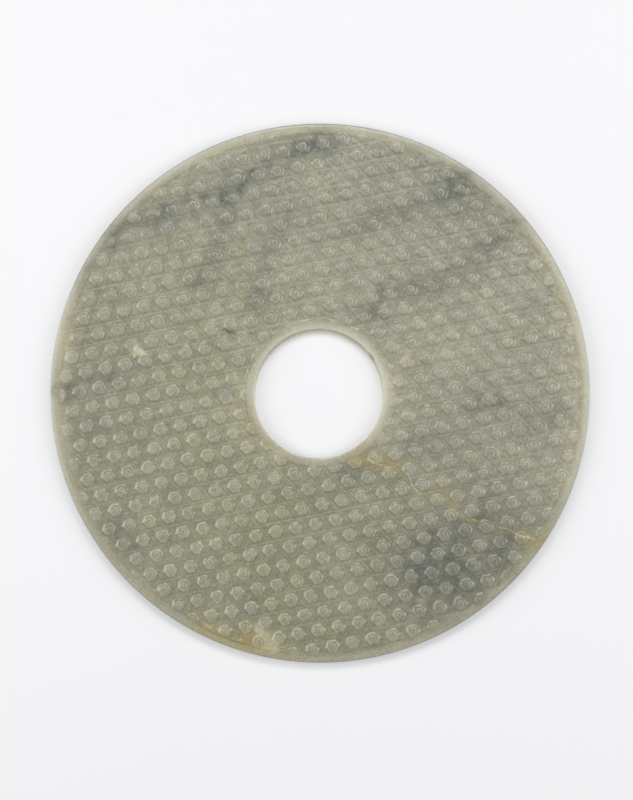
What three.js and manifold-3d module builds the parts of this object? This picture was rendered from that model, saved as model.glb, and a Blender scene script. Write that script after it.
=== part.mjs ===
// A jade bi disc: a flat ring of pale grey-green nephrite, lying on its underside.
// Both faces carry a plain outer and inner band. The field between them is sunk below the bands
// and covered with low hexagonal bosses in rows, left standing by three crossing sets of cuts.
// The bosses on the back are fewer and larger.
// Millimetres, +Z up. The origin is on the ground under the disc's centre, and the front is up.

import * as THREE from 'three';
import { mergeVertices } from 'three/addons/utils/BufferGeometryUtils.js';
import Module from 'manifold-3d';

const wasm = await Module();
wasm.setup();

// The ring
const discRadius = 110;
const discThickness = 5;
const rimBevel = 0.6;

// The hole, drilled from both faces a little off the middle, so that a narrow ledge is left inside
const frontBoreRadius = 26.5;
const frontBoreCentre = [-0.6, -0.25];
const frontBoreDepth = 3;
const backBoreRadius = 26.2;
const backBoreCentre = [-0.6, -1.25];
const boreBevel = 0.35;

// The bands and the sunk field
const outerBandWidth = 3.9;
const innerBandWidth = 3.5;
const innerBandCentre = [-0.9, 0.04];
const fieldDepth = 0.55;

// The bosses: two row steps span their lattice, and their tops stay just under the bands
const rowStep = 8.32;
const rowAngle = 11.45;
const crossStep = 8.38;
const crossAngle = -47.9;
const firstBoss = [-0.29, -1.67];
const bossTopGap = 0.05;
const backBossScale = 1.5;

// How far the hand-cut rows stray from straight at the field's rim, along each axis
const strayX = { acrossSquared: 1.88, upSquared: -0.82, acrossCubed: 1.49, upCubed: -0.92 };
const strayY = { upSquared: 0.4, acrossTimesUpSquared: -1.21 };

// How finely the round forms are faceted, and how far solids run into each other where they join
const rimFacets = 64;
const holeFacets = 36;
const joinOverlap = 0.1;

const jadeColour = 0xa3a28f;

const fieldOuterRadius = discRadius - outerBandWidth;
const fieldInnerRadius = frontBoreRadius + innerBandWidth;
const middleHeight = discThickness / 2;
const groundHeight = middleHeight - fieldDepth;
const bossHeight = middleHeight - bossTopGap;

/** A step of the lattice from its length and its angle in degrees. */
function latticeStep(length, degrees) {
  const angle = THREE.MathUtils.degToRad(degrees);
  return new THREE.Vector2(length * Math.cos(angle), length * Math.sin(angle));
}

/** The place of a lattice point, moved as the hand-cut rows stray. */
function latticePoint(alongRow, acrossRow, bossScale) {
  const point = latticeStep(rowStep * bossScale, rowAngle).multiplyScalar(alongRow);
  point.add(latticeStep(crossStep * bossScale, crossAngle).multiplyScalar(acrossRow));
  point.add(new THREE.Vector2(...firstBoss));
  const x = point.x / fieldOuterRadius;
  const y = point.y / fieldOuterRadius;
  point.x += strayX.acrossSquared * x ** 2 + strayX.upSquared * y ** 2;
  point.x += strayX.acrossCubed * x ** 3 + strayX.upCubed * y ** 3;
  point.y += strayY.upSquared * y ** 2 + strayY.acrossTimesUpSquared * x * y ** 2;
  return point;
}

/** A closed solid from a three.js geometry. */
function solidFrom(geometry) {
  geometry.deleteAttribute('normal');
  geometry.deleteAttribute('uv');
  const merged = mergeVertices(geometry, 1e-4);
  return new wasm.Manifold(new wasm.Mesh({
    numProp: 3,
    vertProperties: new Float32Array(merged.attributes.position.array),
    triVerts: new Uint32Array(merged.index.array),
  }));
}

/** A solid of revolution about an upright axis through centre, from [radius, height] corners. */
function turned(corners, facets, centre = [0, 0]) {
  const profile = [...corners, corners[0]].map(([radius, height]) => new THREE.Vector2(radius, height));
  const geometry = new THREE.LatheGeometry(profile, facets);
  geometry.rotateX(Math.PI / 2);
  geometry.translate(centre[0], centre[1], 0);
  return solidFrom(geometry);
}

/** One face's half of the slab under the field. Its grid has a node halfway between bosses too. */
function bossedSlab(bossScale) {
  const reach = fieldOuterRadius + rowStep * bossScale;
  const rows = Math.ceil(reach / (rowStep * bossScale * Math.cos(Math.PI / 6)));
  const steps = 4 * rows;
  const geometry = new THREE.BoxGeometry(steps, steps, 1, steps, steps, 1);
  const position = geometry.attributes.position;
  for (let index = 0; index < position.count; index += 1) {
    const across = Math.round(position.getX(index));
    const up = Math.round(position.getY(index));
    const point = latticePoint(across / 2, -up / 2, bossScale);
    const isBoss = across % 2 === 0 && up % 2 === 0;
    const topHeight = isBoss ? bossHeight : groundHeight;
    position.setXYZ(index, point.x, point.y, position.getZ(index) > 0 ? topHeight : -joinOverlap);
  }
  return solidFrom(geometry);
}

/** The slab of the sunk field, with the bosses of both faces cut off where the bands run. */
function field() {
  const front = bossedSlab(1);
  const back = bossedSlab(backBossScale).mirror([0, 0, 1]);
  const bounds = turned([
    [0, -discThickness], [fieldOuterRadius + joinOverlap, -discThickness],
    [fieldOuterRadius + joinOverlap, discThickness], [0, discThickness],
  ], rimFacets);
  return front.add(back).intersect(bounds);
}

/** The plain band around the rim, with bevelled edges. */
function outerBand() {
  return turned([
    [fieldOuterRadius, -middleHeight], [discRadius - rimBevel, -middleHeight],
    [discRadius, rimBevel - middleHeight], [discRadius, middleHeight - rimBevel],
    [discRadius - rimBevel, middleHeight], [fieldOuterRadius, middleHeight],
  ], rimFacets);
}

/** The plain band around the hole, before the hole is drilled. */
function innerBand() {
  return turned([
    [0, -middleHeight], [fieldInnerRadius, -middleHeight],
    [fieldInnerRadius, middleHeight], [0, middleHeight],
  ], holeFacets, innerBandCentre);
}

/** A drill for one face, from a depth below the face out through its bevelled edge. */
function drill(radius, centre, depth) {
  const bottom = middleHeight - depth;
  return turned([
    [0, bottom], [radius, bottom], [radius, middleHeight - boreBevel],
    [radius + 2 * boreBevel, middleHeight + boreBevel], [0, middleHeight + boreBevel],
  ], holeFacets, centre);
}

/** The whole disc, standing on its underside. */
function biDisc() {
  const frontDrill = drill(frontBoreRadius, frontBoreCentre, frontBoreDepth);
  const backDepth = discThickness - frontBoreDepth + joinOverlap;
  const backDrill = drill(backBoreRadius, backBoreCentre, backDepth).mirror([0, 0, 1]);
  const disc = field().add(outerBand()).add(innerBand()).subtract(frontDrill).subtract(backDrill);
  return disc.translate([0, 0, middleHeight]);
}

/** A three.js geometry from a closed solid. */
function geometryFrom(solid) {
  const mesh = solid.getMesh();
  const geometry = new THREE.BufferGeometry();
  geometry.setAttribute('position', new THREE.Float32BufferAttribute(mesh.vertProperties, mesh.numProp));
  geometry.setIndex(new THREE.Uint32BufferAttribute(mesh.triVerts, 1));
  geometry.computeVertexNormals();
  return geometry;
}

const jade = new THREE.MeshStandardMaterial({ color: jadeColour, roughness: 0.45, metalness: 0 });
jade.name = 'jade';

const disc = new THREE.Mesh(geometryFrom(biDisc()), jade);
disc.name = 'bi_disc';

const part = new THREE.Group();
part.name = 'jade bi disc';
part.add(disc);

export default part;
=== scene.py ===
"""A carved jade bi disc, lying front up on a pale studio floor.

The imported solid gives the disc's place and outline. The visual model replaces it with one closed
mesh: a ring wrapped from its section, then carved with the bands, the rows of hexagonal bosses, the
curl on each boss, the two bores of the hole, the wear and the healed crack.
"""

import logging
import math
from dataclasses import dataclass, field
from enum import Enum

import bmesh
import bpy
import numpy as np
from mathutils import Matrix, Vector

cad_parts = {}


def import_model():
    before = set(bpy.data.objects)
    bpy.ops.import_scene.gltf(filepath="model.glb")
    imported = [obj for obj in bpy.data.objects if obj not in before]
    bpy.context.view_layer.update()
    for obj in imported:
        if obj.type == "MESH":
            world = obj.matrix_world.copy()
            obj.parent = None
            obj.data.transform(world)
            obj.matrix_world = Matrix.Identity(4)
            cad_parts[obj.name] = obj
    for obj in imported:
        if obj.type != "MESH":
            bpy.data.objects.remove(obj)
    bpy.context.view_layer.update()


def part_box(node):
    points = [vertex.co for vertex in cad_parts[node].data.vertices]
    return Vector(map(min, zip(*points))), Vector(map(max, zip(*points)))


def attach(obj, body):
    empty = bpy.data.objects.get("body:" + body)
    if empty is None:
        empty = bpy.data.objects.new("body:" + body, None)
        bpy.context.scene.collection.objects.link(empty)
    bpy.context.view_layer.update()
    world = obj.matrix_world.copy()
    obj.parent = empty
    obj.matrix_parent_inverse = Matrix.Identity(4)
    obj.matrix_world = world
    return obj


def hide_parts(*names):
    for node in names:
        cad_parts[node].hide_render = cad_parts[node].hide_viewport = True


MM = 0.001
NODE = "bi_disc"

log = logging.getLogger("bi_disc")


class Face(Enum):
    """The two carved faces of the disc."""

    FRONT = "front"
    BACK = "back"


@dataclass(frozen=True)
class Quality:
    """How finely the ring is divided before it is carved, and how many triangles are kept."""

    spin_steps: int
    front_row: float
    back_row: float
    triangles: int


FINE = Quality(spin_steps=2000, front_row=0.30, back_row=0.75, triangles=192_000)


def smooth_over(values: np.ndarray, rounding: float) -> np.ndarray:
    """Returns values where they are above zero and zero below, with a rounded corner.

    Args:
        values: The heights to clip, in any unit.
        rounding: The size of the rounded corner, in the same unit.

    Returns:
        The clipped heights.
    """
    return 0.5 * (values + np.sqrt(values * values + rounding * rounding))


def smooth_least(first: np.ndarray, second: np.ndarray, rounding: float) -> np.ndarray:
    """Returns the lower of two heights, with the edge between them rounded.

    Args:
        first: One surface's heights.
        second: The other surface's heights.
        rounding: The size of the rounded edge.

    Returns:
        The rounded minimum.
    """
    return first - smooth_over(first - second, rounding)


def smooth_step(values: np.ndarray, low: float, high: float) -> np.ndarray:
    """Returns an eased ramp from 0 at low to 1 at high."""
    t = np.clip((values - low) / (high - low), 0.0, 1.0)
    return t * t * (3.0 - 2.0 * t)


def offset_from_path(points: np.ndarray, path: tuple) -> np.ndarray:
    """Measures how far points lie from an open path of straight stretches, and on which side.

    Args:
        points: An array of x, y rows in millimetres.
        path: The path's corners in millimetres.

    Returns:
        One distance for each point, above zero on the path's left.
    """
    nearest = np.full(len(points), np.inf)
    corners = [np.array(corner, float) for corner in path]
    for start, end in zip(corners, corners[1:]):
        along = end - start
        share = np.clip((points - start) @ along / (along @ along), 0.0, 1.0)
        offset = points - start - share[:, None] * along
        side = np.where(along[0] * offset[:, 1] - along[1] * offset[:, 0] < 0.0, -1.0, 1.0)
        away = np.hypot(offset[:, 0], offset[:, 1])
        nearest = np.where(away < np.abs(nearest), side * away, nearest)
    return nearest


def distance_to_path(points: np.ndarray, path: tuple) -> np.ndarray:
    """Returns how far x, y rows lie from an open path of straight stretches."""
    return np.abs(offset_from_path(points, path))


def rounded_path(corners: tuple, turns: int) -> tuple:
    """Cuts the corners of a path a few times, so that it bends smoothly.

    Args:
        corners: The path's corners.
        turns: How many times the corners are cut.

    Returns:
        The smoother path, with the same ends.
    """
    points = [np.array(corner, float) for corner in corners]
    for _ in range(turns):
        inner = []
        for start, end in zip(points, points[1:]):
            inner += [0.75 * start + 0.25 * end, 0.25 * start + 0.75 * end]
        points = [points[0], *inner, points[-1]]
    return tuple(map(tuple, points))


class SmoothNoise:
    """Soft random hills over the plane, from a seeded grid of heights."""

    def __init__(self, seed: int, cell: float, reach: float = 130.0) -> None:
        """Draws the grid.

        Args:
            seed: The seed of the random draw.
            cell: The distance between grid nodes, in millimetres.
            reach: How far the grid runs from the disc's centre, in millimetres.
        """
        self.cell = cell
        self.reach = reach
        count = int(2 * reach / cell) + 3
        self.heights = np.random.default_rng(seed).normal(0.0, 1.0, (count, count))

    def at(self, points: np.ndarray) -> np.ndarray:
        """Returns the noise at x, y rows in millimetres, about one high."""
        scaled = (points + self.reach) / self.cell
        base = np.clip(np.floor(scaled).astype(int), 0, self.heights.shape[0] - 2)
        part = scaled - base
        part = part * part * (3.0 - 2.0 * part)
        i, j = base[:, 0], base[:, 1]
        low = self.heights[i, j] * (1 - part[:, 0]) + self.heights[i + 1, j] * part[:, 0]
        high = self.heights[i, j + 1] * (1 - part[:, 0]) + self.heights[i + 1, j + 1] * part[:, 0]
        return low * (1 - part[:, 1]) + high * part[:, 1]


def wavering(points: np.ndarray, seed: int, cell: float) -> np.ndarray:
    """Returns a soft random x, y shift for each of the x, y rows, about one long.

    Args:
        points: An array of x, y rows in millimetres.
        seed: The seed of the shift in x. The shift in y takes the next one.
        cell: The distance over which the shift changes, in millimetres.

    Returns:
        The shifts.
    """
    return np.stack([SmoothNoise(seed + k, cell).at(points) for k in (0, 1)], axis=1)


@dataclass(frozen=True)
class Lattice:
    """The rows of bosses: two steps, in millimetres and degrees, and the drift of the rows."""

    row_step: float = 8.32
    row_angle: float = 11.45
    cross_step: float = 8.38
    cross_angle: float = -47.9
    first_boss: tuple = (-0.29, -1.67)
    reach: float = 106.1
    scale: float = 1.0
    stray_across: tuple = (1.88, -0.82, 1.49, -0.92)
    stray_up: tuple = (0.40, -1.21)

    def steps(self) -> np.ndarray:
        """Returns the two steps as the rows of a matrix."""
        rows = []
        for length, degrees in ((self.row_step, self.row_angle), (self.cross_step, self.cross_angle)):
            angle = math.radians(degrees)
            rows.append((length * self.scale * math.cos(angle), length * self.scale * math.sin(angle)))
        return np.array(rows)

    def stray(self, nominal: np.ndarray) -> np.ndarray:
        """Returns how far the hand-cut rows stray from straight at nominal x, y rows."""
        x = nominal[:, 0] / self.reach
        y = nominal[:, 1] / self.reach
        a, b, c, d = self.stray_across
        e, f = self.stray_up
        return np.stack([(a + c * x) * x**2 + (b + d * y) * y**2, (e + f * x) * y**2], axis=1)

    def place(self, indices: np.ndarray) -> np.ndarray:
        """Returns the x, y of lattice points from their two indices."""
        nominal = indices @ self.steps() + np.array(self.first_boss)
        return nominal + self.stray(nominal)

    def indices(self, points: np.ndarray) -> np.ndarray:
        """Returns the two lattice indices, not rounded, of x, y rows."""
        nominal = points - self.stray(points)
        for _ in range(3):
            nominal = points - self.stray(nominal)
        return (nominal - np.array(self.first_boss)) @ np.linalg.inv(self.steps())

    def row_gaps(self) -> tuple:
        """Returns the distance between neighbouring rows for each of the three sets of rows."""
        first, second = self.steps()
        area = abs(first[0] * second[1] - first[1] * second[0])
        return tuple(area / np.hypot(*step) for step in (first, second, first - second))


@dataclass(frozen=True)
class Curl:
    """The curl cut into a boss: one groove that winds inwards, and the ridge that it leaves.

    The paths are in millimetres from the boss's centre.
    """

    groove: tuple = (
        (0.55, -2.05), (0.65, -1.45), (1.15, -1.30), (1.56, -0.66), (1.64, 0.18), (1.38, 0.98),
        (0.74, 1.52), (-0.10, 1.68), (-0.92, 1.42), (-1.46, 0.86),
    )
    hook: tuple = (
        (0.00, 0.66), (0.26, 0.32), (0.32, -0.08), (0.16, -0.48), (-0.24, -0.70), (-0.80, -0.62),
    )
    ridge: tuple = (
        (-0.22, -0.22), (-0.67, 0.03), (-1.04, 0.41), (-0.81, 0.95), (-0.27, 1.24), (0.36, 1.16),
        (0.85, 0.75), (1.12, 0.26), (1.16, -0.32), (1.00, -0.81), (0.75, -1.10),
    )
    groove_depth: float = 0.19
    groove_width: float = 0.30
    hook_depth: float = 0.18
    hook_width: float = 0.20
    ridge_height: float = 0.09
    ridge_width: float = 0.26
    corner_cuts: int = 2

    def away(self, local: np.ndarray, path: tuple, width: float) -> np.ndarray:
        """Returns how far local x, y rows lie from a rounded path, in widths of the path."""
        return distance_to_path(local, rounded_path(path, self.corner_cuts)) / width

    def cuts(self, local: np.ndarray) -> tuple[np.ndarray, np.ndarray]:
        """Returns how far local x, y rows lie from the groove and from the hook, in their widths."""
        groove = self.away(local, self.groove, self.groove_width)
        return groove, self.away(local, self.hook, self.hook_width)

    def relief(self, local: np.ndarray) -> np.ndarray:
        """Returns the curl's height over the boss's flat top at local x, y rows."""
        groove, hook = self.cuts(local)
        cut = self.groove_depth * np.exp(-(groove**2)) + self.hook_depth * np.exp(-(hook**2))
        return self.ridge_height * self.crest(local) - cut

    def cut(self, local: np.ndarray) -> np.ndarray:
        """Returns 1 along the middle of the cuts and 0 away from them."""
        return np.exp(-(np.minimum(*self.cuts(local)) ** 2))

    def crest(self, local: np.ndarray) -> np.ndarray:
        """Returns 1 on the ridge's crest and 0 away from it."""
        return np.exp(-(self.away(local, self.ridge, self.ridge_width) ** 2))


@dataclass
class BossField:
    """The sunk field between the bands, with its bosses left standing by three sets of cuts.

    Lengths are in millimetres and turn_spread is in degrees. The spreads are those of the small
    differences between cuts and between bosses.
    """

    lattice: Lattice
    depth: float = 0.55
    floor_half_width: float = 0.74
    facet_width: float = 0.85
    edge_rounding: float = 0.05
    corner_rounding: float = 0.03
    hollow: float = 1.2
    crown: float = 0.004
    shift_spread: float = 0.07
    width_spread: float = 0.07
    turn_spread: float = 7.0
    size_spread: float = 0.05
    lower_spread: float = 0.03
    wander_reach: float = 0.09
    wander_cell: float = 22.0
    chatter_reach: float = 0.05
    chatter_cell: float = 1.7
    curl_reach: float = 2.6
    curl_foot: float = 0.35
    curl_full: float = 0.8
    curl_fresh: float = 1.15
    curl_wear: float = 0.4
    seed: int = 11
    curl: Curl | None = None
    jitter: dict = field(default_factory=dict)

    TABLE = 64

    def __post_init__(self) -> None:
        """Draws the small differences between cuts and between bosses."""
        rng = np.random.default_rng(self.seed)
        count = self.TABLE
        self.jitter = {
            "shift": rng.normal(0.0, self.shift_spread, (3, 2 * count)),
            "width": rng.normal(0.0, self.width_spread, (3, 2 * count)),
            "turn": rng.normal(0.0, math.radians(self.turn_spread), (count, count)),
            "grow": rng.normal(1.0, self.size_spread, (count, count)),
            "lower": np.abs(rng.normal(0.0, self.lower_spread, (count, count))),
            "worn": rng.uniform(0.0, 1.0, (count, count)),
        }
        scale = self.lattice.scale
        self.wander = [SmoothNoise(self.seed + 1 + k, self.wander_cell * scale) for k in range(3)]
        self.chatter = [SmoothNoise(self.seed + 5 + k, self.chatter_cell * scale) for k in range(3)]

    def cells(self, points: np.ndarray) -> tuple[np.ndarray, np.ndarray]:
        """Finds the boss that each point belongs to.

        Args:
            points: An array of x, y rows in millimetres.

        Returns:
            The boss's two whole indices, and the point's x, y from the boss's centre.
        """
        whole = np.round(self.lattice.indices(points))
        return whole.astype(int), points - self.lattice.place(whole)

    def flanks(self, points: np.ndarray) -> np.ndarray:
        """Returns the height of the cuts' sloping sides at x, y rows, below zero on the ground."""
        indices = self.lattice.indices(points)
        rows = (indices[:, 1], indices[:, 0], indices[:, 0] + indices[:, 1])
        slope = self.depth / self.facet_width
        height = np.full(len(points), self.depth * 2.0)
        for family, (row, gap) in enumerate(zip(rows, self.lattice.row_gaps())):
            line = np.floor(row)
            known = line.astype(int) + self.TABLE
            wander = self.wander_reach * self.wander[family].at(points)
            chatter = self.chatter_reach * self.chatter[family].at(points)
            shift = self.jitter["shift"][family][known] + wander
            reach = self.floor_half_width * self.lattice.scale + self.jitter["width"][family][known]
            away = np.abs((row - line - 0.5) * gap - shift) + chatter
            height = smooth_least(height, slope * (away - reach), self.corner_rounding)
        return height

    def height(self, points: np.ndarray) -> np.ndarray:
        """Returns the height of the field over its ground at x, y rows, in millimetres."""
        height = smooth_over(self.flanks(points), self.edge_rounding)
        whole, local = self.cells(points)
        i, j = (whole + self.TABLE // 2).T
        top = self.depth - self.jitter["lower"][i, j]
        radius = np.hypot(local[:, 0], local[:, 1])
        top = top - self.crown * (radius / self.lattice.scale) ** 2
        height = smooth_least(height, top, self.edge_rounding)
        height = self.depth * np.maximum(height / self.depth, 0.0) ** self.hollow
        if self.curl:
            height += self.curls(local, i, j, height)
        return height

    def curls(self, local: np.ndarray, i: np.ndarray, j: np.ndarray, height: np.ndarray) -> np.ndarray:
        """Returns the curls' relief on the bosses.

        Args:
            local: Each point's x, y from its boss's centre.
            i: The boss's first index in the tables of differences.
            j: The boss's second index in the tables of differences.
            height: The height of the plain boss, which fades the curl out down its facets.

        Returns:
            The height to add.
        """
        relief = np.zeros(len(local))
        foot = self.curl_foot * self.depth
        near = np.flatnonzero((np.hypot(*local.T) < self.curl_reach) & (height > foot))
        turned = self.turned(local[near], i[near], j[near])
        worn = self.jitter["worn"][i[near], j[near]]
        fade = smooth_step(height[near], foot, self.curl_full * self.depth)
        relief[near] = self.curl.relief(turned) * fade * (self.curl_fresh - self.curl_wear * worn)
        return relief

    def turned(self, local: np.ndarray, i: np.ndarray, j: np.ndarray) -> np.ndarray:
        """Returns local x, y rows turned and sized for each boss's own curl."""
        angle = self.jitter["turn"][i, j]
        grow = self.jitter["grow"][i, j]
        x = (local[:, 0] * np.cos(angle) + local[:, 1] * np.sin(angle)) / grow
        y = (local[:, 1] * np.cos(angle) - local[:, 0] * np.sin(angle)) / grow
        return np.stack([x, y], axis=1)

    def curl_marks(self, points: np.ndarray) -> dict[str, np.ndarray]:
        """Returns 1 on the crests, and on the cuts, of the curls and 0 elsewhere, at x, y rows."""
        whole, local = self.cells(points)
        turned = self.turned(local, *(whole + self.TABLE // 2).T)
        return {"curl_crest": self.curl.crest(turned), "curl_cut": self.curl.cut(turned)}


@dataclass(frozen=True)
class Section:
    """The ring's section, in millimetres from the axis and from the underside.

    The steps are the numbers of corners round the edges and up the walls.
    """

    radius: float
    thickness: float
    rim_bevel: float = 0.7
    outer_band: float = 3.9
    inner_band: float = 3.5
    inner_band_centre: tuple = (-0.9, 0.04)
    field_depth: float = 0.55
    step_run: float = 2.4
    band_height: float = 0.3
    front_bore: float = 26.5
    front_bore_centre: tuple = (-0.6, -0.25)
    front_bore_depth: float = 3.0
    back_bore: float = 26.2
    back_bore_centre: tuple = (-0.6, -1.5)
    bore_bevel: float = 0.4
    band_row: float = 0.55
    rim_edge_steps: int = 4
    rim_steps: int = 5
    bore_edge_steps: int = 2
    back_bore_steps: int = 4
    front_bore_steps: int = 6
    ledge_rise: float = 0.02

    @property
    def field_outer(self) -> float:
        """The radius where the field meets the outer band."""
        return self.radius - self.outer_band

    @property
    def field_inner(self) -> float:
        """The radius where the field meets the inner band."""
        return self.front_bore + self.inner_band

    @property
    def band_level(self) -> float:
        """The height of the front's bands, a little under the tops of the bosses."""
        return self.thickness - self.field_depth + self.band_height

    @property
    def ledge(self) -> float:
        """The height of the ledge between the two bores."""
        return self.thickness - self.front_bore_depth

    def face_rows(self, face: Face, row: float) -> list:
        """Lists the section's corners across one face, from the bore's edge to the rim's bevel.

        Args:
            face: The face.
            row: The distance between rows across the field.

        Returns:
            A list of radius, height pairs.
        """
        top = self.band_level if face is Face.FRONT else self.thickness - self.band_level
        ground = self.thickness - self.field_depth if face is Face.FRONT else self.field_depth
        bore = self.front_bore if face is Face.FRONT else self.back_bore
        start, end = self.field_inner - 0.5 * self.step_run, self.field_outer + 0.5 * self.step_run
        flat = self.radius - self.rim_bevel
        inner = np.linspace(bore + self.bore_bevel, start, 1 + round(self.inner_band / self.band_row))
        sunk = np.linspace(start, end, 1 + round((end - start) / row))
        outer = np.linspace(end, flat, 1 + round(self.outer_band / self.band_row))
        return [(r, top) for r in inner[:-1]] + [(r, ground) for r in sunk] + [(r, top) for r in outer[1:]]

    def band_share(self, radius: np.ndarray) -> np.ndarray:
        """Returns 1 on the bands and 0 on the field, eased over the slope between them."""
        half = 0.5 * self.step_run
        outer = smooth_step(radius, self.field_outer - half, self.field_outer + half)
        return outer + 1.0 - smooth_step(radius, self.field_inner - half, self.field_inner + half)

    def rounded(self, centre: tuple, radius: float, start: float, end: float, steps: int) -> list:
        """Lists the inner corners of a rounded edge, from one angle in degrees to another."""
        angles = np.radians(np.linspace(start, end, steps + 2)[1:-1])
        return [(centre[0] + radius * math.cos(a), centre[1] + radius * math.sin(a)) for a in angles]

    def outline(self, quality: Quality) -> list:
        """Lists the closed section's corners as radius, height pairs."""
        bevel, rim, top = self.rim_bevel, self.radius, self.band_level
        bottom = self.thickness - top
        corners = self.face_rows(Face.FRONT, quality.front_row)
        corners += self.rounded((rim - bevel, top - bevel), bevel, 90, 0, self.rim_edge_steps)
        corners += [(rim, z) for z in np.linspace(top - bevel, bottom + bevel, self.rim_steps)]
        corners += self.rounded((rim - bevel, bottom + bevel), bevel, 0, -90, self.rim_edge_steps)
        corners += self.face_rows(Face.BACK, quality.back_row)[::-1]
        edge, rise = self.bore_bevel, self.ledge + self.ledge_rise
        lower = np.linspace(bottom + edge, self.ledge, self.back_bore_steps)
        upper = np.linspace(rise, top - edge, self.front_bore_steps)
        corners += self.rounded(
            (self.back_bore + edge, bottom + edge), edge, 270, 180, self.bore_edge_steps
        )
        corners += [(self.back_bore, z) for z in lower]
        corners += [(self.front_bore, z) for z in upper]
        corners += self.rounded(
            (self.front_bore + edge, top - edge), edge, 180, 90, self.bore_edge_steps
        )
        return corners

    def centres(self, radius: np.ndarray, height: np.ndarray) -> np.ndarray:
        """Returns how far the circle through each point is off the disc's centre.

        Args:
            radius: The points' distance from the axis, before the shift.
            height: The points' height.

        Returns:
            The x, y shift of each point.
        """
        above = (height > self.ledge + 0.5 * self.ledge_rise)[:, None]
        bore = np.where(above, np.array(self.front_bore_centre), np.array(self.back_bore_centre))
        band = np.array(self.inner_band_centre)
        to_band = smooth_step(radius, self.front_bore + self.bore_bevel, self.field_inner)[:, None]
        to_axis = smooth_step(radius, self.field_inner, 2.0 * self.field_inner)[:, None]
        return (bore * (1 - to_band) + band * to_band) * (1 - to_axis)


@dataclass(frozen=True)
class HealedCrack:
    """The fine crack that runs from the hole to the rim, filled with pale mineral."""

    path: tuple = (
        (13.6, -25.0), (19.1, -27.4), (23.0, -28.9), (27.6, -30.1), (33.1, -30.9), (36.2, -33.6),
        (37.4, -37.1), (40.1, -40.2), (42.5, -41.6), (47.9, -42.0), (51.5, -42.6), (52.6, -44.9),
        (55.3, -46.5), (56.9, -49.2), (59.6, -50.9), (65.1, -52.3), (70.5, -53.1), (74.4, -55.1),
        (78.4, -56.6), (82.2, -58.6), (86.9, -59.2), (90.4, -60.9),
    )
    depth: float = 0.03
    width: float = 0.3
    waver: float = 0.22
    waver_cell: float = 2.4

    def offset(self, points: np.ndarray) -> np.ndarray:
        """Returns the signed distance of x, y rows from the crack, which wavers a little."""
        waver = wavering(points, 71, self.waver_cell)
        return offset_from_path(points + self.waver * waver, self.path)

    def relief(self, points: np.ndarray) -> np.ndarray:
        """Returns the shallow groove along the crack."""
        return -self.depth * np.exp(-((self.offset(points) / self.width) ** 2))


@dataclass(frozen=True)
class Cloud:
    """A soft streak of other stone along a path, in millimetres."""

    path: tuple
    reach: float
    strength: float
    haze: float = 0.35
    haze_reach: float = 2.6

    def density(self, points: np.ndarray) -> np.ndarray:
        """Returns how dense the streak is at x, y rows, with a wider haze round it."""
        away = distance_to_path(points, self.path) / self.reach
        core = (1.0 - self.haze) * np.exp(-(away**2))
        return self.strength * (core + self.haze * np.exp(-((away / self.haze_reach) ** 2)))


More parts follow.
